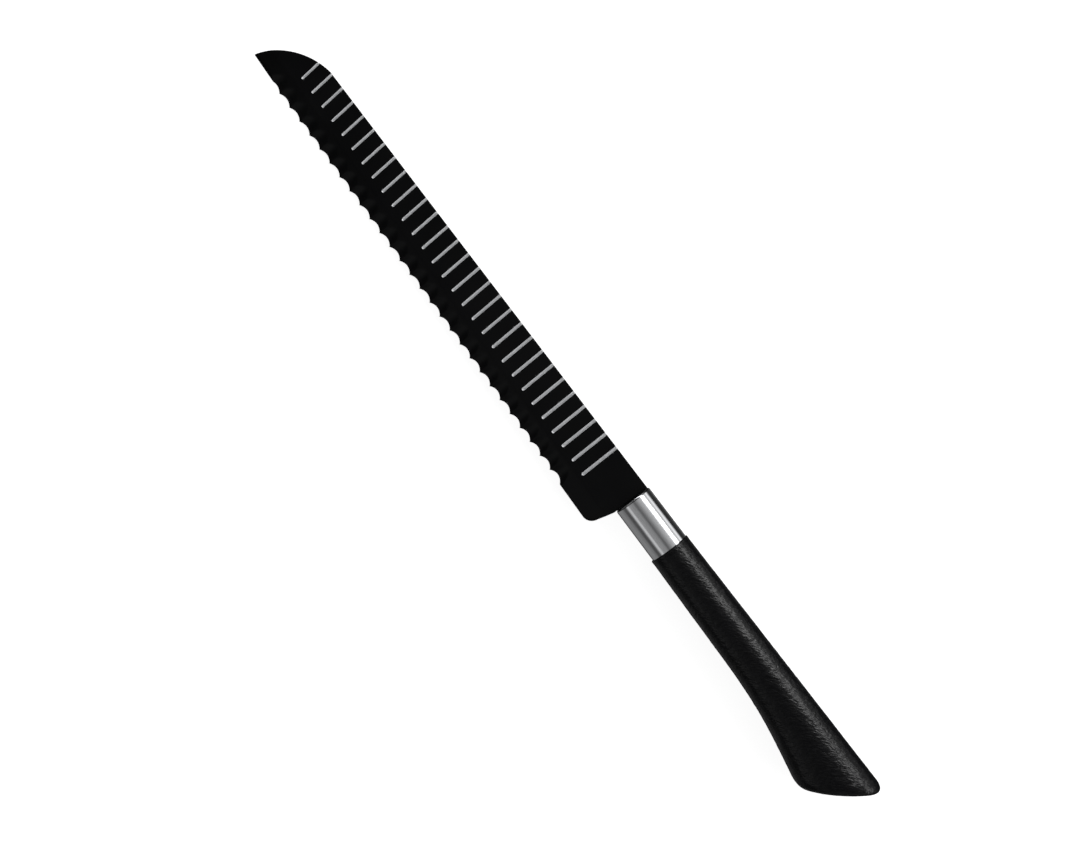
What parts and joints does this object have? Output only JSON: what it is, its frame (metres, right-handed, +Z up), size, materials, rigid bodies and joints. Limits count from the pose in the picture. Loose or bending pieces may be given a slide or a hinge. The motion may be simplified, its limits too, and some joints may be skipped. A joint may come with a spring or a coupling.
{
  "type": "bread knife",
  "caption": "Long serrated bread knife with a dark coated blade, bare cross grooves along its spine, an oval steel bolster and a textured black grip that swells at the butt.",
  "frame": {"origin": "bottom centre of the bounding box, on the surface that the knife lies on", "axes": "+X towards the tip, +Y towards the cutting edge, +Z up, out of the left side of the blade. The knife lies on its right side, nose down by 1.57 degrees and rolled towards its spine by 0.92 degrees, so that the curve of the tip and the front of the grip touch the surface"},
  "size_m": [0.3362, 0.026, 0.0171],
  "materials": {
    "coated_blade": "satin black non-stick coating over stainless steel, with bare grooves",
    "bolster_steel": "fine lengthwise brushing",
    "pin_steel": "drawn wire, cut to length",
    "filler_epoxy": "cast epoxy",
    "core_plastic": "moulded polypropylene, fine spark-eroded texture",
    "grip_rubber": "soft-touch moulding with a leather grain"
  },
  "bodies": {
    "root": {"blade": "coated_blade", "bolster_sleeve": "bolster_steel", "bolster_filler": "filler_epoxy", "handle_core_left": "core_plastic", "handle_core_right": "core_plastic", "tang_pin_front": "pin_steel", "tang_pin_rear": "pin_steel", "grip": "grip_rubber"}
  },
  "joints": []
}
